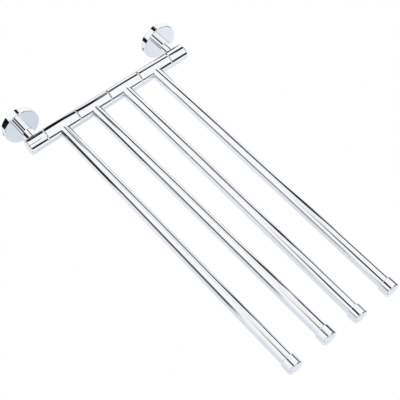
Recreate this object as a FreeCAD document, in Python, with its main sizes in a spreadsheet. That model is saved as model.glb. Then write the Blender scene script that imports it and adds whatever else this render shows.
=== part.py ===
import FreeCAD, Part
import Sketcher
import math
import os

# Swing arm towel bar: four arms on barrels that turn on one upright spindle, which two posts hold off the wall.
# Frame: the wall is the plane y = 0 and the rack stands off it towards -Y. +Z is up, along the spindle.
# The origin is the middle of the wall screws' pattern, halfway between the two flanges.

# Driving dimensions, in millimetres and degrees.
DIMENSIONS = {
    "armPitch": 49.0,  # height from one arm to the next
    "armReach": 430.0,  # spindle axis to the tip of the end cap
    "tubeDiameter": 16.0,
    "tubeWall": 1.2,
    "barrelDiameter": 21.5,
    "barrelEdge": 0.8,  # chamfer at each seam of the shaft
    "spindleDiameter": 12.0,
    "spindleEdge": 0.6,
    "runningClearance": 0.08,  # radial gap round the spindle for what turns on it
    "seatClearance": 0.05,  # gap round a piece that is fixed in or on another
    "axialPlay": 0.05,  # gap on each side of a thrust washer
    "washerThickness": 0.6,
    "washerInset": 0.75,  # a thrust washer's rim inside the barrel's outline
    "bushWall": 1.5,
    "bushLength": 12.0,
    "bushInset": 0.5,  # a bush's outer end behind the barrel's end
    "capDiameter": 19.5,
    "capLength": 13.0,
    "capDepth": 9.8,  # how far the tube reaches into the cap
    "capFrontEdge": 1.3,
    "capBackEdge": 0.4,
    "rootPlugLength": 14.0,
    "rootStudDiameter": 8.0,
    "rootStudGap": 0.4,  # the stud's end short of the barrel's bore
    "standoff": 43.0,  # wall to spindle axis
    "collarLength": 26.0,
    "collarWeb": 4.0,  # closed end of a collar
    "collarEndEdge": 1.4,
    "spindleEndGap": 0.5,  # the spindle's end short of the collar's web
    "postDiameter": 16.0,
    "postStudDiameter": 6.0,
    "postStudGap": 1.0,  # the stud's end short of the spindle's axis
    "postSpigotDiameter": 10.0,
    "flangeDiameter": 50.0,
    "flangeDepth": 9.5,
    "flangeWall": 2.5,
    "flangeFrontEdge": 0.8,
    "bracketGap": 0.3,  # between the bracket's rim and the cover
    "bracketPlate": 2.0,
    "bracketRim": 2.0,
    "bracketWindow": 15.0,  # central opening, which clears the post's screw
    "wallHoleDiameter": 5.2,
    "wallHoleSpacing": 26.0,
    "postScrewDiameter": 5.0,
    "postScrewLength": 10.0,  # under the head
    "postScrewHead": 9.0,
    "postScrewHeadHeight": 2.8,
    "postScrewSocket": 4.0,  # across flats
    "postScrewRunout": 2.0,  # threaded hole past the screw's end
    "postWasherDiameter": 11.5,
    "postWasherThickness": 0.8,
    "grubDiameter": 4.0,
    "grubLength": 4.0,
    "grubRecess": 0.3,
    "grubSocket": 2.0,  # across flats
    "swingOne": -0.7,  # how each arm stands in the photograph, from straight out, the lowest first
    "swingTwo": -1.0,
    "swingThree": 1.0,
    "swingFour": 0.9,
}
ARM_SWINGS = ("swingOne", "swingTwo", "swingThree", "swingFour")


class Size:
    # A length that knows its value now and its formula in the sheet.

    def __init__(self, value, formula):
        self.value = value
        self.formula = formula

    def joined(self, other, sign, value):
        formula = other.formula if isinstance(other, Size) else repr(other)
        return Size(value, f"({self.formula} {sign} {formula})")

    def __add__(self, other):
        return self.joined(other, "+", self.value + other.value)

    def __sub__(self, other):
        return self.joined(other, "-", self.value - other.value)

    def __mul__(self, factor):
        return self.joined(factor, "*", self.value * factor)

    def __truediv__(self, divisor):
        return self.joined(divisor, "/", self.value / divisor)

    def __neg__(self):
        return self * -1


document = FreeCAD.newDocument("SwingArmTowelBar")
sheet = document.addObject("Spreadsheet::Sheet", "Sizes")
size = {}
for row, (alias, value) in enumerate(DIMENSIONS.items(), start=1):
    sheet.set(f"A{row}", alias)
    sheet.set(f"B{row}", str(value))
    sheet.setAlias(f"B{row}", alias)
    size[alias] = Size(value, f"Sizes.{alias}")
document.recompute()

zero = Size(0.0, "0")
seat = size["seatClearance"]

# The shaft: spindle, barrels and collars.
barrelRadius = size["barrelDiameter"] / 2
spindleRadius = size["spindleDiameter"] / 2
turningBore = spindleRadius + size["runningClearance"]
bushRadius = turningBore + size["bushWall"]
barrelBore = bushRadius + seat
seamWidth = size["washerThickness"] + size["axialPlay"] * 2
barrelLength = size["armPitch"] - seamWidth
stackEnd = size["armPitch"] * (len(ARM_SWINGS) / 2) + seamWidth / 2
collarMiddle = stackEnd + size["collarLength"] / 2
collarBoreEnd = size["collarLength"] / 2 - size["collarWeb"]
spindleEnd = collarMiddle + collarBoreEnd - size["spindleEndGap"]

# An arm, from the spindle's axis outwards.
tubeRadius = size["tubeDiameter"] / 2
tubeBore = tubeRadius - size["tubeWall"]
saddleRadius = barrelRadius + seat
rootStudRadius = size["rootStudDiameter"] / 2
capBack = size["armReach"] - size["capLength"]
capSeat = capBack + size["capDepth"]

# A flange, from the wall outwards.
flangeRadius = size["flangeDiameter"] / 2
coverBore = flangeRadius - size["flangeWall"]
coverDepth = size["flangeDepth"] - size["flangeWall"]
bracketRadius = coverBore - size["bracketGap"]
bracketDepth = coverDepth - size["bracketGap"]
grubLine = (bracketDepth + size["bracketPlate"]) / 2
grubRadius = size["grubDiameter"] / 2
postStudRadius = size["postStudDiameter"] / 2
spigotRadius = size["postSpigotDiameter"] / 2
postScrewRadius = size["postScrewDiameter"] / 2
postScrewSeat = coverDepth - size["postWasherThickness"]


def bind(item, name, length):
    item.setExpression(name, length.formula)


def newBody(name):
    body = document.addObject("PartDesign::Body", name)
    body.Label = name
    return body


def newSketch(body, name, plane):
    # plane is the role of one of the body's own origin planes.
    sketch = body.newObject("Sketcher::SketchObject", body.Name + name)
    support = next(feature for feature in body.Origin.OriginFeatures if feature.Role == plane)
    sketch.AttachmentSupport = [(support, "")]
    sketch.MapMode = "FlatFace"
    return sketch


def pin(sketch, geometry, vertex, across, along):
    # Holds one vertex at two distances from the sketch's origin.
    for kind, axis, length in (("DistanceX", -2, across), ("DistanceY", -1, along)):
        if length.value == 0:
            sketch.addConstraint(Sketcher.Constraint("PointOnObject", geometry, vertex, axis))
            continue
        ends = (-1, 1, geometry, vertex) if length.value > 0 else (geometry, vertex, -1, 1)
        distance = length if length.value > 0 else -length
        index = sketch.addConstraint(Sketcher.Constraint(kind, *ends, distance.value))
        bind(sketch, f"Constraints[{index}]", distance)


def drawOutline(sketch, corners):
    points = [FreeCAD.Vector(across.value, along.value, 0) for across, along in corners]
    count = len(points)
    for index in range(count):
        sketch.addGeometry(Part.LineSegment(points[index], points[(index + 1) % count]), False)
    for index, (across, along) in enumerate(corners):
        sketch.addConstraint(Sketcher.Constraint("Coincident", index, 2, (index + 1) % count, 1))
        pin(sketch, index, 1, across, along)


def drawCircle(sketch, across, along, radius):
    middle = FreeCAD.Vector(across.value, along.value, 0)
    circle = sketch.addGeometry(Part.Circle(middle, FreeCAD.Vector(0, 0, 1), radius.value), False)
    pin(sketch, circle, 3, across, along)
    index = sketch.addConstraint(Sketcher.Constraint("Radius", circle, radius.value))
    bind(sketch, f"Constraints[{index}]", radius)


def turn(body, name, plane, corners):
    # Spins an outline of (radius, place along the axis) about the plane's upright axis.
    sketch = newSketch(body, name + "Outline", plane)
    drawOutline(sketch, corners)
    turning = body.newObject("PartDesign::Revolution", body.Name + name)
    turning.Profile = sketch
    turning.ReferenceAxis = (sketch, ["V_Axis"])
    turning.Angle = 360
    body.Tip = turning
    document.recompute()
    return turning


def cut(body, sketch, name, depth, side):
    # side is "back", "front" or "both" of the sketch's plane. A cut that removes nothing is an error.
    before = body.Shape.Volume
    pocket = body.newObject("PartDesign::Pocket", body.Name + name)
    pocket.Profile = sketch
    pocket.SideType = "Symmetric" if side == "both" else "One side"
    pocket.Reversed = side == "front"
    bind(pocket, "Length", depth)
    body.Tip = pocket
    document.recompute()
    if body.Shape.Volume > before - 0.1:
        raise RuntimeError(f"{body.Name}: {name} cuts nothing")


def drill(body, name, plane, holes, depth, side):
    # holes is a list of (across, along, radius) on the plane.
    sketch = newSketch(body, name + "Circles", plane)
    for across, along, radius in holes:
        drawCircle(sketch, across, along, radius)
    cut(body, sketch, name, depth, side)


def hexSocket(body, plane, acrossFlats, depth, side):
    sketch = newSketch(body, "SocketOutline", plane)
    corner = acrossFlats / math.sqrt(3)
    turns = [math.radians(60 * step) for step in range(6)]
    drawOutline(sketch, [(corner * round(math.cos(a), 9), corner * round(math.sin(a), 9)) for a in turns])
    cut(body, sketch, "Socket", depth, side)


def soften(body, kind, name, base, rings, length):
    # kind is Fillet or Chamfer, and rings is a list of (radius, middle) of round edges.
    edges = []
    for radius, middle in rings:
        for index, edge in enumerate(base.Shape.Edges, start=1):
            curve = edge.Curve
            if curve.TypeId != "Part::GeomCircle" or abs(curve.Radius - radius.value) > 1e-4:
                continue
            if curve.Center.distanceToPoint(middle) < 1e-4:
                edges.append(f"Edge{index}")
    if len(edges) != len(rings):
        raise RuntimeError(f"{body.Name}: {name} has {len(edges)} edges")
    softened = body.newObject("PartDesign::" + kind, body.Name + name)
    softened.Base = (base, edges)
    bind(softened, "Radius" if kind == "Fillet" else "Size", length)
    body.Tip = softened
    document.recompute()
    return softened


def upright(height):
    return FreeCAD.Vector(0, 0, height.value)


def outward(reach):
    return FreeCAD.Vector(0, -reach.value, 0)


def place(item, y, z, swing=None, turned=None):
    # swing turns an arm's piece about +Z. turned is a fixed (axis, degrees).
    if swing is not None:
        item.Placement.Rotation = FreeCAD.Rotation(FreeCAD.Vector(0, 0, 1), 1)
        bind(item, "Placement.Rotation.Angle", swing)
    if turned is not None:
        item.Placement.Rotation = FreeCAD.Rotation(*turned)
    bind(item, "Placement.Base.y", y)
    bind(item, "Placement.Base.z", z)


def group(name, pieces):
    # Like pieces, each a solid of its own, kept as one sub-part.
    compound = document.addObject("Part::Compound", name)
    compound.Label = name
    compound.Links = pieces
    document.recompute()
    return compound


def ring(name, plane, bore, radius, start, end):
    body = newBody(name)
    turn(body, "Ring", plane, [(bore, start), (radius, start), (radius, end), (bore, end)])
    return body


def makeSpindle():
    body = newBody("spindle")
    turned = turn(body, "Rod", "XZ_Plane", [
        (zero, -spindleEnd), (spindleRadius, -spindleEnd), (spindleRadius, spindleEnd), (zero, spindleEnd)])
    rings = [(spindleRadius, upright(spindleEnd)), (spindleRadius, upright(-spindleEnd))]
    soften(body, "Chamfer", "Ends", turned, rings, size["spindleEdge"])
    # The posts' studs come in from the wall side, as far as the axis.
    hole = postStudRadius + seat
    studs = [(zero, collarMiddle, hole), (zero, -collarMiddle, hole)]
    drill(body, "StudHoles", "XZ_Plane", studs, size["spindleDiameter"], "back")
    place(body, -size["standoff"], zero)
    return body


def makeThrustWashers():
    washers = []
    radius = barrelRadius - size["washerInset"]
    half = size["washerThickness"] / 2
    for seam in range(len(ARM_SWINGS) + 1):
        washer = ring(f"thrust_washer_{seam + 1}", "XZ_Plane", turningBore, radius, -half, half)
        place(washer, zero, size["armPitch"] * (seam - len(ARM_SWINGS) / 2))
        washers.append(washer)
    washerGroup = group("thrust_washers", washers)
    place(washerGroup, -size["standoff"], zero)
    return washerGroup


def makeCollar(name, height, turned=None):
    # Modelled with its closed end up; the lower one is the same piece turned over.
    body = newBody(name)
    bore = spindleRadius + seat
    end = size["collarLength"] / 2
    shell = turn(body, "Shell", "XZ_Plane", [
        (bore, -end), (barrelRadius, -end), (barrelRadius, end), (zero, end), (zero, collarBoreEnd),
        (bore, collarBoreEnd)])
    seam = soften(body, "Chamfer", "SeamEdge", shell, [(barrelRadius, upright(-end))], size["barrelEdge"])
    soften(body, "Fillet", "EndEdge", seam, [(barrelRadius, upright(end))], size["collarEndEdge"])
    drill(body, "StudHole", "XZ_Plane", [(zero, zero, postStudRadius + seat)], barrelRadius, "back")
    place(body, -size["standoff"], height, turned=turned)
    return body


def makePost(name, height):
    # From the spindle's axis to the wall: stud, saddle against the collar, bar, shoulder, spigot, threaded hole.
    body = newBody(name)
    radius = size["postDiameter"] / 2
    shoulder = size["standoff"] - size["flangeDepth"]
    spigotEnd = size["standoff"] - coverDepth - seat
    screwHole = postScrewRadius + seat
    screwHoleEnd = size["standoff"] - postScrewSeat - size["postScrewLength"] - size["postScrewRunout"]
    turn(body, "Bar", "XY_Plane", [
        (zero, zero), (radius, zero), (radius, shoulder), (spigotRadius, shoulder), (spigotRadius, spigotEnd),
        (screwHole, spigotEnd), (screwHole, screwHoleEnd), (zero, screwHoleEnd)])
    saddle = [(zero, zero, saddleRadius)]
    drill(body, "Saddle", "XY_Plane", saddle, size["collarLength"], "both")
    studBase = saddleRadius + postStudRadius
    turn(body, "Stud", "XY_Plane", [
        (zero, size["postStudGap"]), (postStudRadius, size["postStudGap"]), (postStudRadius, studBase),
        (zero, studBase)])
    place(body, -size["standoff"], height)
    return body


def makeFlangeCover(name, height):
    body = newBody(name)
    hole = spigotRadius + seat
    front = size["flangeDepth"]
    cup = turn(body, "Cup", "XY_Plane", [
        (hole, -front), (flangeRadius, -front), (flangeRadius, zero), (coverBore, zero), (coverBore, -coverDepth),
        (hole, -coverDepth)])
    soften(body, "Fillet", "FrontEdge", cup, [(flangeRadius, outward(front))], size["flangeFrontEdge"])
    drill(body, "GrubHole", "XY_Plane", [(zero, -grubLine, grubRadius + seat)], flangeRadius, "back")
    place(body, zero, height)
    return body


def makeWallBracket(name, height):
    body = newBody(name)
    window = size["bracketWindow"] / 2
    rimBore = bracketRadius - size["bracketRim"]
    turn(body, "Dish", "XY_Plane", [
        (window, zero), (bracketRadius, zero), (bracketRadius, -bracketDepth), (rimBore, -bracketDepth),
        (rimBore, -size["bracketPlate"]), (window, -size["bracketPlate"])])
    side = size["wallHoleSpacing"] / 2
    wallHole = size["wallHoleDiameter"] / 2
    drill(body, "WallHoles", "XZ_Plane", [(side, zero, wallHole), (-side, zero, wallHole)], bracketDepth, "front")
    drill(body, "GrubHole", "XY_Plane", [(zero, -grubLine, grubRadius + seat)], flangeRadius, "back")
    place(body, zero, height)
    return body


def makeGrubScrew(name, height):
    # Its socket opens on the underside of the flange.
    body = newBody(name)
    turn(body, "Screw", "XZ_Plane", [
        (zero, zero), (grubRadius, zero), (grubRadius, size["grubLength"]), (zero, size["grubLength"])])
    hexSocket(body, "XY_Plane", size["grubSocket"], size["grubLength"] / 2, "front")
    place(body, -grubLine, height - flangeRadius + size["grubRecess"])
    return body


def makePostScrew(name, height):
    # Its socket faces the wall.
    body = newBody(name)
    head = size["postScrewHead"] / 2
    seatLine = size["postScrewHeadHeight"]
    end = seatLine + size["postScrewLength"]
    turn(body, "Screw", "XY_Plane", [
        (zero, zero), (head, zero), (head, -seatLine), (postScrewRadius, -seatLine), (postScrewRadius, -end),
        (zero, -end)])
    hexSocket(body, "XZ_Plane", size["postScrewSocket"], seatLine / 2, "front")
    place(body, seatLine - postScrewSeat, height)
    return body


def makePostWasher(name, height):
    hole = postScrewRadius + seat
    washer = ring(name, "XY_Plane", hole, size["postWasherDiameter"] / 2, -postScrewSeat, -coverDepth)
    place(washer, zero, height)
    return washer


def makeWallSides():
    # Everything that stands between the wall and the spindle, below and above.
    pieces = []
    pairs = {"cover_grub_screws": makeGrubScrew, "post_screws": makePostScrew, "post_screw_washers": makePostWasher}
    heights = {"lower": -collarMiddle, "upper": collarMiddle}
    turnedOver = (FreeCAD.Vector(0, 1, 0), 180)
    for side, height in heights.items():
        pieces.append(makeCollar(side + "_collar", height, turnedOver if side == "lower" else None))
        pieces.append(makePost(side + "_post", height))
        pieces.append(makeFlangeCover(side + "_flange_cover", height))
        pieces.append(makeWallBracket(side + "_wall_bracket", height))
    for name, make in pairs.items():
        pieces.append(group(name, [make(f"{side}_{name}", height) for side, height in heights.items()]))
    return pieces


def makeBarrel(name):
    body = newBody(name)
    end = barrelLength / 2
    sleeve = turn(body, "Sleeve", "XZ_Plane", [
        (barrelBore, -end), (barrelRadius, -end), (barrelRadius, end), (barrelBore, end)])
    rings = [(barrelRadius, upright(end)), (barrelRadius, upright(-end))]
    soften(body, "Chamfer", "SeamEdges", sleeve, rings, size["barrelEdge"])
    drill(body, "StudHole", "XZ_Plane", [(zero, zero, rootStudRadius + seat)], barrelRadius, "front")
    return body


def makeBushes(name):
    middle = (barrelLength - size["bushLength"]) / 2 - size["bushInset"]
    half = size["bushLength"] / 2
    bushes = []
    for end, height in {"lower": -middle, "upper": middle}.items():
        bush = ring(f"{name}_{end}", "XZ_Plane", turningBore, bushRadius, -half, half)
        place(bush, zero, height)
        bushes.append(bush)
    return group(name, bushes)


def makeRootPlug(name):
    # Fills the tube's root, fits the barrel's outside and has a stud in the barrel's wall.
    body = newBody(name)
    radius = tubeBore - seat
    end = barrelRadius + size["rootPlugLength"]
    turn(body, "Plug", "XY_Plane", [(zero, -end), (radius, -end), (radius, zero), (zero, zero)])
    drill(body, "Saddle", "XY_Plane", [(zero, zero, saddleRadius)], size["tubeDiameter"], "both")
    studEnd = barrelBore + size["rootStudGap"]
    studBase = saddleRadius + rootStudRadius
    turn(body, "Stud", "XY_Plane", [
        (zero, -studBase), (rootStudRadius, -studBase), (rootStudRadius, -studEnd), (zero, -studEnd)])
    return body


def makeTube(name):
    # Starts on the spindle's axis and is then cut to fit round the barrel.
    body = newBody(name)
    end = capSeat - seat
    turn(body, "Tube", "XY_Plane", [(tubeBore, -end), (tubeRadius, -end), (tubeRadius, zero), (tubeBore, zero)])
    saddle = [(zero, zero, saddleRadius)]
    drill(body, "Saddle", "XY_Plane", saddle, size["tubeDiameter"] * 2, "both")
    return body


def makeEndCap(name):
    body = newBody(name)
    radius = size["capDiameter"] / 2
    bore = tubeRadius + seat
    tip = size["armReach"]
    cup = turn(body, "Cup", "XY_Plane", [
        (zero, -tip), (radius, -tip), (radius, -capBack), (bore, -capBack), (bore, -capSeat), (zero, -capSeat)])
    front = soften(body, "Fillet", "FrontEdge", cup, [(radius, outward(tip))], size["capFrontEdge"])
    soften(body, "Fillet", "BackEdge", front, [(radius, outward(capBack))], size["capBackEdge"])
    return body


def makeArm(index, swing):
    name = f"arm_{index + 1}"
    pieces = [
        makeBarrel(name + "_barrel"),
        makeBushes(name + "_bushes"),
        makeRootPlug(name + "_root_plug"),
        makeTube(name + "_tube"),
        makeEndCap(name + "_end_cap"),
    ]
    height = size["armPitch"] * (index - (len(ARM_SWINGS) - 1) / 2)
    for piece in pieces:
        place(piece, -size["standoff"], height, swing=swing)
    return pieces


nodes = [makeSpindle(), makeThrustWashers()] + makeWallSides()
for index, swing in enumerate(ARM_SWINGS):
    nodes += makeArm(index, size[swing])
document.recompute()

for item in document.Objects:
    if "Invalid" in item.State or "Error" in item.State:
        raise RuntimeError(f"{item.Label} did not build")
for node in nodes:
    if node.Shape.isNull() or not node.Shape.isValid():
        raise RuntimeError(f"{node.Label} has no valid shape")

os.makedirs("parts", exist_ok=True)
for node in nodes:
    node.Shape.exportStep(f"parts/{node.Label}.step")
    box = node.Shape.BoundBox
    print(f"{node.Label}: {len(node.Shape.Solids)} solid(s), {node.Shape.Volume:.1f} mm3, "
          f"x {box.XMin:.2f} {box.XMax:.2f}, y {box.YMin:.2f} {box.YMax:.2f}, z {box.ZMin:.2f} {box.ZMax:.2f}")
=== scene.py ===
import math
import bpy
import bmesh
from mathutils import Matrix, Vector


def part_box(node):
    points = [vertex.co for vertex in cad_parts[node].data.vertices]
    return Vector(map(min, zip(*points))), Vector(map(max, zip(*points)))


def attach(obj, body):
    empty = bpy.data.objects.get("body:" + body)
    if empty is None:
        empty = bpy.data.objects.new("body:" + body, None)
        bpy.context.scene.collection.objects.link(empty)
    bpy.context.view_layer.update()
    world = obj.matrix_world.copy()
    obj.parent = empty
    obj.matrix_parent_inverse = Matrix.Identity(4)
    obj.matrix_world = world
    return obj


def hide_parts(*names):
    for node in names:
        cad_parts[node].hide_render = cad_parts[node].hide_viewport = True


# Swing arm towel bar in bright chrome: two wall flanges, their posts, and four arms that turn on one shaft.
# Lengths are in metres. The wall is the plane y = 0 and the arms point along -Y.

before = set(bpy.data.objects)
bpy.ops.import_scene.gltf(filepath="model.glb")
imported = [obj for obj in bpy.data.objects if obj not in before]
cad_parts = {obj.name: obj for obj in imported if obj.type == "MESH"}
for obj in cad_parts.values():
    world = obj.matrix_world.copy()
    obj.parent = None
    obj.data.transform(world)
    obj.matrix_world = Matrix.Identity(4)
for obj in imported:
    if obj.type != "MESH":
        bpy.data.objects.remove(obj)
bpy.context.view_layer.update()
scene = bpy.context.scene


# Shader nodes

white = (1, 1, 1, 1)
black = (0, 0, 0, 1)


class Wire:
    # One output of a node, so that sums on it read as sums.

    def __init__(self, graph, socket):
        self.graph = graph
        self.socket = socket

    def maths(self, operation, *others):
        inputs = {place: other for place, other in enumerate((self,) + others)}
        return self.graph.node("ShaderNodeMath", {"operation": operation}, inputs)

    def __add__(self, other):
        return self.maths("ADD", other)

    def __sub__(self, other):
        return self.maths("SUBTRACT", other)

    def __rsub__(self, other):
        return self.graph.node("ShaderNodeMath", {"operation": "SUBTRACT"}, {0: other, 1: self})

    def __mul__(self, other):
        return self.maths("MULTIPLY", other)

    def __neg__(self):
        return self.maths("MULTIPLY", -1.0)

    def __abs__(self):
        return self.maths("ABSOLUTE")


class Graph:
    # A material's or the world's node tree, emptied and built up again.

    def __init__(self, owner):
        owner.use_nodes = True
        self.tree = owner.node_tree
        self.tree.nodes.clear()

    def node(self, kind, settings=None, inputs=None, output=0):
        made = self.tree.nodes.new(kind)
        for name, value in (settings or {}).items():
            setattr(made, name, value)
        for name, value in (inputs or {}).items():
            if isinstance(value, Wire):
                self.tree.links.new(value.socket, made.inputs[name])
            else:
                made.inputs[name].default_value = value
        return Wire(self, made.outputs[output]) if made.outputs else made

    def split(self, vector):
        made = self.tree.nodes.new("ShaderNodeSeparateXYZ")
        self.tree.links.new(vector.socket, made.inputs[0])
        return [Wire(self, output) for output in made.outputs]

    def mixedColour(self, factor, first, second, blend="MIX"):
        # The Mix node keeps a socket of each type: its colours are inputs 6 and 7 and output 2.
        settings = {"data_type": "RGBA", "blend_type": blend}
        return self.node("ShaderNodeMix", settings, {0: factor, 6: first, 7: second}, 2)

    def noise(self, scale, detail, stretch=(1, 1, 1)):
        # Noise on the piece's own coordinates, finer along an axis whose stretch is larger.
        place = self.node("ShaderNodeTexCoord", output="Object")
        place = self.node("ShaderNodeMapping", None, {"Vector": place, "Scale": stretch})
        return self.node("ShaderNodeTexNoise", None, {"Vector": place, "Scale": scale, "Detail": detail})

    def eased(self, value, low, high, start=0.0, end=1.0):
        return self.node("ShaderNodeMapRange", {"interpolation_type": "SMOOTHSTEP"}, {
            "Value": value, "From Min": low, "From Max": high, "To Min": start, "To Max": end})

    def bump(self, height, strength, distance):
        return self.node("ShaderNodeBump", None, {
            "Height": height, "Strength": strength, "Distance": distance})


def newFinish(name):
    material = bpy.data.materials.new(name)
    return material, Graph(material)


def finishedWith(graph, settings):
    shader = graph.node("ShaderNodeBsdfPrincipled", None, settings)
    graph.node("ShaderNodeOutputMaterial", None, {"Surface": shader})


# In these finishes a noise is its scale, its detail and, for the marks, its stretch. A fade is the part of
# the noise over which it acts, roughness its lowest and highest value, and a bump its strength and distance.
chromeLook = {
    "colour": (0.94, 0.951, 0.973, 1),
    "thinColour": (0.91, 0.926, 0.953, 1),
    "cloud": (60.0, 2.0),
    "wiped": (900.0, 3.0),
    "thinFade": (0.35, 0.7),
    "shares": {"wiped": 0.6, "cloud": 0.4},
    "roughFade": (0.4, 0.7),
    "roughness": (0.008, 0.025),
    "ripple": (0.15, 0.00002),
}


def makeChrome():
    material, graph = newFinish("bright chrome plate")
    look = chromeLook
    cloud = graph.noise(*look["cloud"])
    wiped = graph.noise(*look["wiped"])
    colour = graph.mixedColour(graph.eased(cloud, *look["thinFade"]), look["colour"], look["thinColour"])
    both = wiped * look["shares"]["wiped"] + cloud * look["shares"]["cloud"]
    finishedWith(graph, {
        "Base Color": colour, "Metallic": 1.0,
        "Roughness": graph.eased(both, *look["roughFade"], *look["roughness"]),
        "Normal": graph.bump(cloud, *look["ripple"])})
    return material


steelLook = {
    "colour": (0.50, 0.50, 0.51, 1),
    "worn": (0.62, 0.62, 0.63, 1),
    "marks": (1.0, 4.0, (60, 60, 2600)),
    "stain": (140.0, 3.0),
    "wornFade": (0.3, 0.7),
    "shares": {"marks": 0.7, "stain": 0.3},
    "roughFade": (0.35, 0.65),
    "roughness": (0.22, 0.42),
    "bump": (0.4, 0.00002),
}


def makeSteel():
    # Plain steel with the fine marks of the tool that turned or pressed it.
    material, graph = newFinish("turned steel")
    look = steelLook
    marks = graph.noise(*look["marks"])
    stain = graph.noise(*look["stain"])
    colour = graph.mixedColour(graph.eased(stain, *look["wornFade"]), look["colour"], look["worn"])
    both = marks * look["shares"]["marks"] + stain * look["shares"]["stain"]
    finishedWith(graph, {
        "Base Color": colour, "Metallic": 1.0,
        "Roughness": graph.eased(both, *look["roughFade"], *look["roughness"]),
        "Normal": graph.bump(marks, *look["bump"])})
    return material


screwLook = {
    "colour": (0.16, 0.16, 0.17, 1),
    "worn": (0.30, 0.30, 0.31, 1),
    "oxide": (900.0, 4.0),
    "wornFade": (0.4, 0.7),
    "roughFade": (0.3, 0.7),
    "roughness": (0.32, 0.5),
    "bump": (0.3, 0.00002),
}


def makeScrewSteel():
    material, graph = newFinish("dark screw steel")
    look = screwLook
    oxide = graph.noise(*look["oxide"])
    colour = graph.mixedColour(graph.eased(oxide, *look["wornFade"]), look["colour"], look["worn"])
    finishedWith(graph, {
        "Base Color": colour, "Metallic": 1.0,
        "Roughness": graph.eased(oxide, *look["roughFade"], *look["roughness"]),
        "Normal": graph.bump(oxide, *look["bump"])})
    return material


plasticLook = {
    "colour": (0.95, 0.95, 0.945, 1),
    "shade": (0.91, 0.91, 0.905, 1),
    "grain": (1400.0, 3.0),
    "flow": (110.0, 2.0),
    "shadeFade": (0.35, 0.7),
    "roughFade": (0.3, 0.7),
    "roughness": (0.38, 0.55),
    "bump": (0.25, 0.00003),
}


def makeBearingPlastic():
    material, graph = newFinish("bearing plastic")
    look = plasticLook
    grain = graph.noise(*look["grain"])
    flow = graph.noise(*look["flow"])
    colour = graph.mixedColour(graph.eased(flow, *look["shadeFade"]), look["colour"], look["shade"])
    finishedWith(graph, {
        "Base Color": colour,
        "Roughness": graph.eased(grain, *look["roughFade"], *look["roughness"]),
        "Normal": graph.bump(grain, *look["bump"])})
    return material


chrome = makeChrome()
finishOfSlot = {
    "chrome": chrome, "steel": makeSteel(), "screw_steel": makeScrewSteel(),
    "bearing_plastic": makeBearingPlastic()}
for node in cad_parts.values():
    for materialSlot in node.material_slots:
        materialSlot.material = finishOfSlot[materialSlot.material.name.split(".")[0]]
print("finishes made:", ", ".join(m.name for m in finishOfSlot.values()))


# Mesh tools

roundSteps = 96
edgeSteps = 5
holdGap = 0.00025  # a second ring this far from a rounded edge keeps the wall beside it straight
weldGap = 1e-7
near = 1e-6  # two lengths this close are the same
sharpAngle = math.radians(32)


def fromAxis(vert):
    return math.hypot(vert.co.x, vert.co.y)


def onRing(vert, radius, height):
    return abs(fromAxis(vert) - radius) < near and abs(vert.co.z - height) < near


def turnedShape(corners, steps, closed):
    # Turns a profile of (radius, height, rounding) about Z. closed joins its last corner to its first.
    shape = bmesh.new()
    rings = []
    for index, (radius, height, rounding) in enumerate(corners):
        here = Vector((radius, 0, height))
        if rounding:
            beside = []
            for other in (corners[index - 1], corners[(index + 1) % len(corners)]):
                there = Vector((other[0], 0, other[1]))
                beside.append(here + (there - here).normalized() * (rounding + holdGap))
            rings += [beside[0], here, beside[1]]
        else:
            rings.append(here)
    verts = [shape.verts.new(place) for place in rings]
    edges = [shape.edges.new(pair) for pair in zip(verts, verts[1:])]
    if closed:
        edges.append(shape.edges.new((verts[-1], verts[0])))
    bmesh.ops.spin(
        shape, geom=verts + edges, cent=(0, 0, 0), axis=(0, 0, 1), angle=math.tau, steps=steps,
        use_merge=True)
    bmesh.ops.remove_doubles(shape, verts=shape.verts, dist=weldGap)
    for radius, height, rounding in corners:
        if rounding:
            ring = [edge for edge in shape.edges if all(onRing(vert, radius, height) for vert in edge.verts)]
            bmesh.ops.bevel(
                shape, geom=ring, offset=rounding, offset_type="OFFSET", segments=edgeSteps, profile=0.5,
                affect="EDGES", material=-1)
    bmesh.ops.recalc_face_normals(shape, faces=shape.faces)
    return shape


saddleRoot = -0.001  # the height of a tube's or post's root rings until saddled moves them


def saddled(shape, saddleRadius):
    # Fits the root rings round a cylinder along Y of this radius about the origin.
    for vert in shape.verts:
        if abs(vert.co.z - saddleRoot) < near:
            vert.co.z = math.sqrt(saddleRadius ** 2 - vert.co.x ** 2)


def finished(shape, name, matrix, body, material, slotName, *nodes):
    bmesh.ops.transform(shape, matrix=matrix, verts=shape.verts)
    for face in shape.faces:
        face.smooth = True
    for edge in shape.edges:
        edge.smooth = edge.calc_face_angle(0.0) < sharpAngle
    mesh = bpy.data.meshes.new(name)
    shape.to_mesh(mesh)
    shape.free()
    mesh.materials.append(material)
    piece = bpy.data.objects.new(name, mesh)
    scene.collection.objects.link(piece)
    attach(piece, body)
    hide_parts(*nodes)


def middleOf(node):
    low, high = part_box(node)
    return (low + high) / 2


shaftPlace = Vector((0, -0.043, 0))
outFromWall = Matrix.Rotation(math.radians(90), 4, "X")  # turns a shape's +Z to -Y
towardsWall = Matrix.Rotation(math.radians(-90), 4, "X")  # turns a shape's +Z to +Y


# Arms

barrelSizes = {"radius": 0.01075, "bore": 0.00763, "length": 0.0483, "chamfer": 0.0008}
# In tubes and posts, hold is the distance from the saddle to a ring that keeps the long wall's shading even.
tubeSizes = {"radius": 0.008, "bore": 0.0068, "saddle": 0.0108, "hold": 0.004, "tip": 0.4268}
capSizes = {
    "radius": 0.00975, "bore": 0.00805, "back": 0.417, "seat": 0.4268, "tip": 0.43, "frontEdge": 0.0013,
    "backEdge": 0.0004}
restSwings = {1: -0.7, 2: -1.0, 3: 1.0, 4: 0.9}  # degrees


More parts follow.
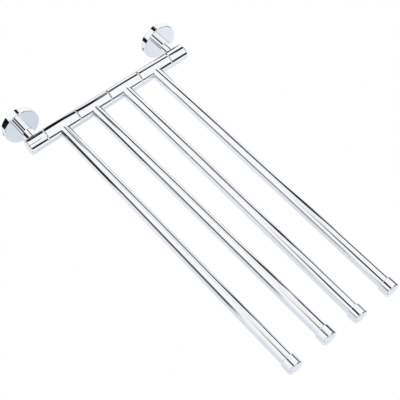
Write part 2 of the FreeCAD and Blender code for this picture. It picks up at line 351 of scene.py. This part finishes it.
def makeBarrel(name, armPlace):
    sizes = barrelSizes
    end = sizes["length"] / 2
    rim = sizes["radius"] - sizes["chamfer"]
    straight = end - sizes["chamfer"]
    corners = [
        (sizes["bore"], -end, 0), (rim, -end, 0), (sizes["radius"], -straight, 0),
        (sizes["radius"], straight, 0), (rim, end, 0), (sizes["bore"], end, 0)]
    shape = turnedShape(corners, roundSteps, closed=True)
    finished(shape, name + "_sleeve", armPlace, name, chrome, "chrome", name + "_barrel")


def makeTube(name, armPlace):
    sizes = tubeSizes
    hold = sizes["saddle"] + sizes["hold"]
    corners = [
        (sizes["bore"], saddleRoot, 0), (sizes["radius"], saddleRoot, 0), (sizes["radius"], hold, 0),
        (sizes["radius"], sizes["tip"], 0), (sizes["bore"], sizes["tip"], 0), (sizes["bore"], hold, 0)]
    shape = turnedShape(corners, roundSteps, closed=True)
    saddled(shape, sizes["saddle"])
    finished(shape, name + "_bar", armPlace @ outFromWall, name, chrome, "chrome", name + "_tube")


def makeCap(name, armPlace):
    sizes = capSizes
    corners = [
        (0, sizes["seat"], 0), (sizes["bore"], sizes["seat"], 0), (sizes["bore"], sizes["back"], 0),
        (sizes["radius"], sizes["back"], sizes["backEdge"]),
        (sizes["radius"], sizes["tip"], sizes["frontEdge"]), (0, sizes["tip"], 0)]
    shape = turnedShape(corners, roundSteps, closed=False)
    finished(shape, name + "_tip", armPlace @ outFromWall, name, chrome, "chrome", name + "_end_cap")


for number, swing in restSwings.items():
    arm = f"arm_{number}"
    place = Matrix.Translation(shaftPlace + Vector((0, 0, middleOf(arm + "_barrel").z)))
    place = place @ Matrix.Rotation(math.radians(swing), 4, "Z")
    makeBarrel(arm, place)
    makeTube(arm, place)
    makeCap(arm, place)
print("arms made")


# Wall frame

collarSizes = {
    "radius": 0.01075, "bore": 0.00605, "length": 0.026, "web": 0.004, "chamfer": 0.0008,
    "endEdge": 0.0014}
postSizes = {
    "radius": 0.008, "stud": 0.003, "studTip": 0.001, "saddle": 0.0108, "hold": 0.002,
    "shoulder": 0.0335, "spigot": 0.005, "spigotEnd": 0.03595}
# The grub screw's hole replaces a square patch of the rim about the height screwLine: patch is half its
# height, and patchSteps half its width, in steps of the turn.
coverSizes = {
    "radius": 0.025, "bore": 0.0225, "depth": 0.0095, "wall": 0.0025, "hole": 0.00505,
    "frontEdge": 0.0008, "backEdge": 0.0002, "steps": 192, "screwHole": 0.00205, "screwLine": 0.00435,
    "patch": 0.00245, "patchSteps": 3}


def makeCollar(side, turn):
    sizes = collarSizes
    end = sizes["length"] / 2
    floor = end - sizes["web"]
    corners = [
        (0, floor, 0), (sizes["bore"], floor, 0), (sizes["bore"], -end, 0),
        (sizes["radius"] - sizes["chamfer"], -end, 0), (sizes["radius"], sizes["chamfer"] - end, 0),
        (sizes["radius"], end, sizes["endEdge"]), (0, end, 0)]
    shape = turnedShape(corners, roundSteps, closed=False)
    place = Matrix.Translation(middleOf(side + "_collar")) @ turn
    finished(shape, side + "_shaft_end", place, "wall_frame", chrome, "chrome", side + "_collar")


def makePost(side):
    sizes = postSizes
    hold = sizes["saddle"] + sizes["hold"]
    corners = [
        (0, sizes["studTip"], 0), (sizes["stud"], sizes["studTip"], 0), (sizes["stud"], saddleRoot, 0),
        (sizes["radius"], saddleRoot, 0), (sizes["radius"], hold, 0), (sizes["radius"], sizes["shoulder"], 0),
        (sizes["spigot"], sizes["shoulder"], 0), (sizes["spigot"], sizes["spigotEnd"], 0),
        (0, sizes["spigotEnd"], 0)]
    shape = turnedShape(corners, roundSteps, closed=False)
    saddled(shape, sizes["saddle"])
    place = Matrix.Translation(shaftPlace + Vector((0, 0, middleOf(side + "_post").z))) @ towardsWall
    finished(shape, side + "_stem", place, "wall_frame", chrome, "chrome", side + "_post")


def openScrewHole(shape):
    # Cuts a round hole through the rim on the -Y side: each wall's patch of faces gives way to a ring.
    sizes = coverSizes
    line = sizes["screwLine"]
    sortTurn = 0.05  # no vert of the rings lies this far before 0, so both are sorted from the same one

    def onWall(verts, radius):
        return all(abs(fromAxis(vert) - radius) < near for vert in verts)

    def turnOf(vert):
        return math.atan2(vert.co.z - line, vert.co.x)

    rings = []
    for radius in (sizes["radius"], sizes["bore"]):
        patch = []
        for face in shape.faces:
            middle = face.calc_center_median()
            stepsAway = abs(math.atan2(middle.x, -middle.y)) * sizes["steps"] / math.tau
            inPatch = stepsAway < sizes["patchSteps"] and abs(middle.z - line) < sizes["patch"]
            if inPatch and onWall(face.verts, radius):
                patch.append(face)
        bmesh.ops.delete(shape, geom=patch, context="FACES")
        edges = [edge for edge in shape.edges if edge.is_boundary and onWall(edge.verts, radius)]
        ring = {}
        for vert in [vert for edge in edges for vert in edge.verts]:
            if vert not in ring:
                turn = turnOf(vert)
                x = sizes["screwHole"] * math.cos(turn)
                z = sizes["screwHole"] * math.sin(turn)
                ring[vert] = shape.verts.new((x, -math.sqrt(radius ** 2 - x ** 2), line + z))
        for edge in edges:
            first, second = edge.verts
            shape.faces.new((first, second, ring[second], ring[first]))
        rings.append(sorted(ring.values(), key=lambda vert: (turnOf(vert) + sortTurn) % math.tau))
    outer, inner = rings
    for index in range(len(outer)):
        shape.faces.new((outer[index - 1], outer[index], inner[index], inner[index - 1]))
    bmesh.ops.recalc_face_normals(shape, faces=shape.faces)


def makeCover(side):
    sizes = coverSizes
    front = sizes["depth"]
    inside = front - sizes["wall"]
    levels = [sizes["screwLine"] + sizes["patch"] * share for share in (-1, -0.5, 0, 0.5, 1)]
    corners = [
        (sizes["hole"], inside, 0), (sizes["bore"], inside, 0),
        *((sizes["bore"], level, 0) for level in levels[::-1]),
        (sizes["bore"], 0, 0), (sizes["radius"], 0, sizes["backEdge"]),
        *((sizes["radius"], level, 0) for level in levels),
        (sizes["radius"], front, sizes["frontEdge"]), (sizes["hole"], front, 0)]
    shape = turnedShape(corners, sizes["steps"], closed=True)
    openScrewHole(shape)
    place = Matrix.Translation((0, 0, middleOf(side + "_flange_cover").z)) @ outFromWall
    finished(shape, side + "_rose", place, "wall_frame", chrome, "chrome", side + "_flange_cover")


makeCollar("upper", Matrix.Identity(4))
makeCollar("lower", Matrix.Rotation(math.pi, 4, "X"))
for side in ("lower", "upper"):
    makePost(side)
    makeCover(side)
print("wall frame made")


# Studio

def gridObject(name, size, height=0.0):
    # One level square face at this height, each of its sides twice this size.
    shape = bmesh.new()
    bmesh.ops.create_grid(shape, x_segments=1, y_segments=1, size=size)
    bmesh.ops.translate(shape, verts=shape.verts, vec=(0, 0, height))
    mesh = bpy.data.meshes.new(name)
    shape.to_mesh(mesh)
    shape.free()
    made = bpy.data.objects.new(name, mesh)
    scene.collection.objects.link(made)
    return made


# The floor grows whiter over its reach, two distances from its middle, so that its far edge doesn't show.
floorLook = {
    "height": -1.1, "size": 40.0, "colour": (0.80, 0.80, 0.80, 1), "reach": (2.0, 14.0),
    "glow": (0.22, 0.46)}


def makeFloor():
    floor = gridObject("floor", floorLook["size"], floorLook["height"])
    material, graph = newFinish("pale floor")
    path = graph.node("ShaderNodeLightPath", output="Is Camera Ray")
    lit = graph.node("ShaderNodeBsdfDiffuse", None, {"Color": floorLook["colour"]})
    place = graph.node("ShaderNodeTexCoord", output="Object")
    away = graph.node("ShaderNodeVectorMath", {"operation": "LENGTH"}, {0: place}, "Value")
    strength = graph.eased(away, *floorLook["reach"], *floorLook["glow"])
    glow = graph.node("ShaderNodeEmission", None, {"Strength": path * strength})
    both = graph.node("ShaderNodeAddShader", None, {0: lit, 1: glow})
    graph.node("ShaderNodeOutputMaterial", None, {"Surface": both})
    floor.data.materials.append(material)
    floor.visible_glossy = False


makeFloor()


# What the chrome mirrors besides white walls: two black cards close by, and the dark edges of the far studio.
# half is how far a dark bar reaches on each side of its middle, and soft how wide its edge fades. Where a bar
# leans, slopes or widens, pivot is the place where its middle or half is the number given.
lowerCard = {
    "height": -0.2496, "size": 1.0, "middle": -0.0918, "lean": -0.140, "pivot": -0.05, "half": 0.0535,
    "soft": 0.045, "ends": (-0.320, 0.117), "endSoft": 0.018, "dark": 0.98}
upperCard = {
    "place": (-0.01303, -0.15144, 0.52633), "along": (0.19756, -0.60250, 0.77329),
    "across": (-0.95197, -0.30615, 0.00467), "size": 1.6,
    "bars": (
        {"middle": 0.0, "lean": -1.007, "bend": -1.407, "half": 0.060, "soft": 0.012,
         "start": (-0.58, -0.54), "end": (-0.10, -0.40)},
        {"middle": 0.0940, "lean": -1.673, "bend": -3.823, "half": 0.085, "soft": 0.020,
         "start": (-0.41, -0.35), "end": (0.287, -0.078)})}

# Directions in the far studio, in degrees. around turns about Y: 0 towards -X, 90 up. apart is from +Y.
# bearing turns about Z: 0 towards +Y, 90 towards +X. rise is above the horizon.
nearingAparts = (50.5, 53.2)  # between these the pairs below go from their first number to their second
bearingCut = 90.0  # frontEdge lies across -180, so for it the bearings above this count on below -180
farEdges = {
    "floorEdge": {
        "around": -83.2, "halves": (32.7, 13.0), "soft": 3.6, "end": 58.9, "endSoft": 1.5, "dark": 0.99},
    "doorEdge": {
        "arounds": (21.0, 9.0), "half": 8.5, "soft": 3.0, "end": 54.8, "endSoft": 1.5, "dark": 0.97},
    "tableEdge": {
        "around": -15.6, "slope": 0.0, "pivot": 73.0, "half": 11.5, "soft": 4.0, "start": 68.0,
        "startSoft": 8.0, "end": 85.0, "endSoft": 1.0, "dark": 1.0},
    "lampEdge": {
        "around": 80.0, "slope": 1.8, "pivot": 73.0, "half": 15.0, "soft": 4.0, "start": 70.3,
        "startSoft": 1.8, "end": 85.0, "endSoft": 1.0, "dark": 1.0},
    "tipEdge": {
        "around": 50.0, "half": 66.0, "soft": 8.0, "aparts": ((84.0, 123.0), (133.0, 150.0)),
        "endSoft": 2.0, "rise": (26.0, 32.0), "dark": 0.97},
    "shelfEdges": {
        "arounds": (100.0, 163.0), "half": 12.0, "soft": 7.0, "end": 46.5, "endSoft": 2.0, "dark": 0.85},
    "sideEdge": {"bearing": 148.0, "half": 9.0, "soft": 6.0, "rise": (-4.0, -9.0), "dark": 0.85},
    "railEdge": {
        "rise": 12.8, "slope": -0.066, "half": 1.6, "widening": 0.010, "pivot": -30.0, "soft": 0.6,
        "bearing": (-73.5, 11.5), "endSoft": 8.0, "dark": 0.995},
    "nearEdge": {"bearing": -110.0, "half": 6.0, "soft": 3.0, "end": 13.2, "endSoft": 0.5, "dark": 0.6},
    "frontEdge": {
        "bearing": -170.6, "slope": -1.193, "pivot": 17.0, "half": 10.0, "wider": 5.0,
        "waist": 17.6, "waistHalves": (3.8, 5.0), "soft": 3.0, "dark": 0.97},
}
tints = {
    "haze": {
        "around": -103.2, "half": 0.0, "soft": 76.0, "apart": (40.0, 81.3), "endSoft": 3.0,
        "growth": (60.0, 73.0), "shares": (0.35, 1.0), "share": 0.7, "colour": (0.28, 0.33, 0.42, 1)},
    "cool": {"right": (0.05, 0.95), "colour": (0.80, 0.835, 0.90, 1)},
    "panel": {
        "height": 0.27, "half": 0.05, "soft": 0.11, "front": (-0.35, -0.50), "right": (0.35, 0.6),
        "colour": (0.64, 0.70, 0.745, 1)},
}
softLight = (0.72, 0.72, 0.73, 1)  # what falls on everything that isn't a mirror


def strip(graph, value, middle, half, soft):
    # 1 within half of the middle, fading to 0 over soft on either side of that edge.
    return graph.eased(abs(value - middle), half + soft, half - soft)


def span(graph, value, ends, soft):
    return strip(graph, value, (ends[0] + ends[1]) / 2, (ends[1] - ends[0]) / 2, soft)


def lightPast(darks):
    # What is left of the light behind all of these.
    light = 1.0
    for dark in darks:
        light = (1.0 - dark) * light
    return light


def makeCard(name, axes, size, darkness):
    # A card that only mirrors see. darkness takes its own X and Y.
    card = gridObject(name, size)
    card.matrix_world = axes
    material, graph = newFinish(name)
    x, y = graph.split(graph.node("ShaderNodeTexCoord", output="Object"))[:2]
    clear = graph.node("ShaderNodeBsdfTransparent")
    unlit = graph.node("ShaderNodeEmission", None, {"Color": black, "Strength": 0.0})
    both = graph.node("ShaderNodeMixShader", None, {0: darkness(graph, x, y), 1: clear, 2: unlit})
    graph.node("ShaderNodeOutputMaterial", None, {"Surface": both})
    card.data.materials.append(material)
    for sight in ("camera", "diffuse", "transmission", "volume_scatter", "shadow"):
        setattr(card, "visible_" + sight, False)


def lowerDarkness(graph, x, y):
    card = lowerCard
    middle = (y - card["pivot"]) * card["lean"] + card["middle"]
    across = strip(graph, x, middle, card["half"], card["soft"])
    return across * span(graph, y, card["ends"], card["endSoft"]) * card["dark"]


def upperDarkness(graph, x, y):
    darks = []
    for bar in upperCard["bars"]:
        middle = x * x * bar["bend"] + x * bar["lean"] + bar["middle"]
        dark = strip(graph, y, middle, bar["half"], bar["soft"])
        darks.append(dark * graph.eased(x, *bar["start"]) * graph.eased(x, *bar["end"]))
    return 1.0 - lightPast(darks)


def makeCards():
    lowerPlace = Matrix.Translation((0, 0, lowerCard["height"]))
    makeCard("lower_card", lowerPlace, lowerCard["size"], lowerDarkness)
    along, across = Vector(upperCard["along"]), Vector(upperCard["across"])
    axes = Matrix((along, across, along.cross(across))).transposed().to_4x4()
    upperPlace = Matrix.Translation(upperCard["place"]) @ axes
    makeCard("upper_card", upperPlace, upperCard["size"], upperDarkness)


makeCards()


def farDarks(graph, around, apart, bearing, rise):
    nearing = graph.node("ShaderNodeMapRange", None, {
        "Value": apart, "From Min": nearingAparts[0], "From Max": nearingAparts[1]})

    def between(pair):
        return nearing * (pair[1] - pair[0]) + pair[0]

    def below(value, edge):
        return graph.eased(value, edge["end"], edge["end"] - edge["endSoft"])

    darks = []
    edge = farEdges["floorEdge"]
    dark = strip(graph, around, edge["around"], between(edge["halves"]), edge["soft"])
    darks.append(dark * below(apart, edge) * edge["dark"])
    edge = farEdges["doorEdge"]
    dark = strip(graph, around, between(edge["arounds"]), edge["half"], edge["soft"])
    darks.append(dark * below(apart, edge) * edge["dark"])
    edge = farEdges["shelfEdges"]
    for middle in edge["arounds"]:
        dark = strip(graph, around, middle, edge["half"], edge["soft"])
        darks.append(dark * below(apart, edge) * edge["dark"])
    edge = farEdges["sideEdge"]
    dark = strip(graph, bearing, edge["bearing"], edge["half"], edge["soft"])
    darks.append(dark * graph.eased(rise, *edge["rise"]) * edge["dark"])
    for edge in (farEdges["tableEdge"], farEdges["lampEdge"]):
        middle = (apart - edge["pivot"]) * edge["slope"] + edge["around"]
        dark = strip(graph, around, middle, edge["half"], edge["soft"]) * below(apart, edge)
        above = graph.eased(apart, edge["start"], edge["start"] + edge["startSoft"])
        darks.append(dark * above * edge["dark"])
    edge = farEdges["tipEdge"]
    dark = strip(graph, around, edge["around"], edge["half"], edge["soft"])
    dark = dark * graph.eased(rise, *edge["rise"]) * edge["dark"]
    darks += [dark * span(graph, apart, ends, edge["endSoft"]) for ends in edge["aparts"]]
    edge = farEdges["railEdge"]
    half = (bearing - edge["pivot"]) * edge["widening"] + edge["half"]
    dark = strip(graph, rise, bearing * edge["slope"] + edge["rise"], half, edge["soft"])
    darks.append(dark * span(graph, bearing, edge["bearing"], edge["endSoft"]) * edge["dark"])
    edge = farEdges["nearEdge"]
    dark = strip(graph, bearing, edge["bearing"], edge["half"], edge["soft"])
    darks.append(dark * below(rise, edge) * edge["dark"])
    edge = farEdges["frontEdge"]
    wrapped = bearing - bearing.maths("GREATER_THAN", bearingCut) * 360.0
    middle = (rise - edge["pivot"]) * edge["slope"] + edge["bearing"]
    half = graph.eased(abs(rise - edge["waist"]), *edge["waistHalves"]) * edge["wider"] + edge["half"]
    darks.append(strip(graph, wrapped, middle, half, edge["soft"]) * edge["dark"])
    return darks


def makeWorld():
    # White for what is seen directly. Metal sees the same white room with its dark edges and faint tints.
    world = bpy.data.worlds.new("studio")
    scene.world = world
    graph = Graph(world)
    x, y, z = graph.split(graph.node("ShaderNodeTexCoord", output="Generated"))
    toDegrees = 180 / math.pi
    around = z.maths("ARCTAN2", -x) * toDegrees
    apart = y.maths("ARCCOSINE") * toDegrees
    bearing = x.maths("ARCTAN2", y) * toDegrees
    rise = z.maths("ARCSINE") * toDegrees
    room = graph.mixedColour(lightPast(farDarks(graph, around, apart, bearing, rise)), black, white)
    tint = tints["haze"]
    share = strip(graph, around, tint["around"], tint["half"], tint["soft"])
    share = share * span(graph, apart, tint["apart"], tint["endSoft"]) * tint["share"]
    share = share * graph.eased(apart, *tint["growth"], *tint["shares"])
    room = graph.mixedColour(share, room, tint["colour"], "MULTIPLY")
    tint = tints["cool"]
    room = graph.mixedColour(graph.eased(x, *tint["right"]), room, tint["colour"], "MULTIPLY")
    tint = tints["panel"]
    share = strip(graph, z, tint["height"], tint["half"], tint["soft"]) * graph.eased(y, *tint["front"])
    share = share * graph.eased(x, *tint["right"])
    room = graph.mixedColour(share, room, tint["colour"], "MULTIPLY")
    camera, glossy, through = (
        graph.node("ShaderNodeLightPath", output=way) for way in (
            "Is Camera Ray", "Is Glossy Ray", "Is Transmission Ray"))
    mirrored = graph.mixedColour(glossy, white, room)
    seen = (camera + glossy + through).maths("MINIMUM", 1.0)
    colour = graph.mixedColour(seen, softLight, mirrored)
    background = graph.node("ShaderNodeBackground", None, {"Color": colour, "Strength": 1.0})
    graph.node("ShaderNodeOutputWorld", None, {"Surface": background})


makeWorld()

lampLooks = {
    "key": {"place": (-1.2, -1.6, 1.6), "size": 1.4, "power": 18.0},
    "fill": {"place": (1.6, -1.2, 1.2), "size": 1.6, "power": 8.0},
}


def makeLamps():
    for name, look in lampLooks.items():
        data = bpy.data.lights.new(name, "AREA")
        data.shape = "DISK"
        data.size = look["size"]
        data.energy = look["power"]
        lamp = bpy.data.objects.new(name, data)
        lamp.location = look["place"]
        lamp.rotation_euler = (-Vector(look["place"])).to_track_quat("-Z", "Y").to_euler()
        lamp.visible_glossy = False
        scene.collection.objects.link(lamp)


makeLamps()

cameraLook = {
    "place": (-0.824289, -0.686995, -0.343049),
    "right": (0.03508376, -0.63856149, 0.76877067),
    "up": (-0.55612357, 0.62666791, 0.5459065),
    "ahead": (0.83035878, 0.44668394, 0.33313323),
    "lens": 75.40,
    "sensor": 36.0,
}


def makeCamera():
    data = bpy.data.cameras.new("camera")
    data.lens = cameraLook["lens"]
    data.sensor_width = cameraLook["sensor"]
    camera = bpy.data.objects.new("camera", data)
    right, up, ahead = (Vector(cameraLook[way]) for way in ("right", "up", "ahead"))
    axes = Matrix((right, up, -ahead)).transposed().to_4x4()
    camera.matrix_world = Matrix.Translation(cameraLook["place"]) @ axes
    scene.collection.objects.link(camera)
    scene.camera = camera


makeCamera()
scene.view_settings.view_transform = "Standard"
print("studio made")
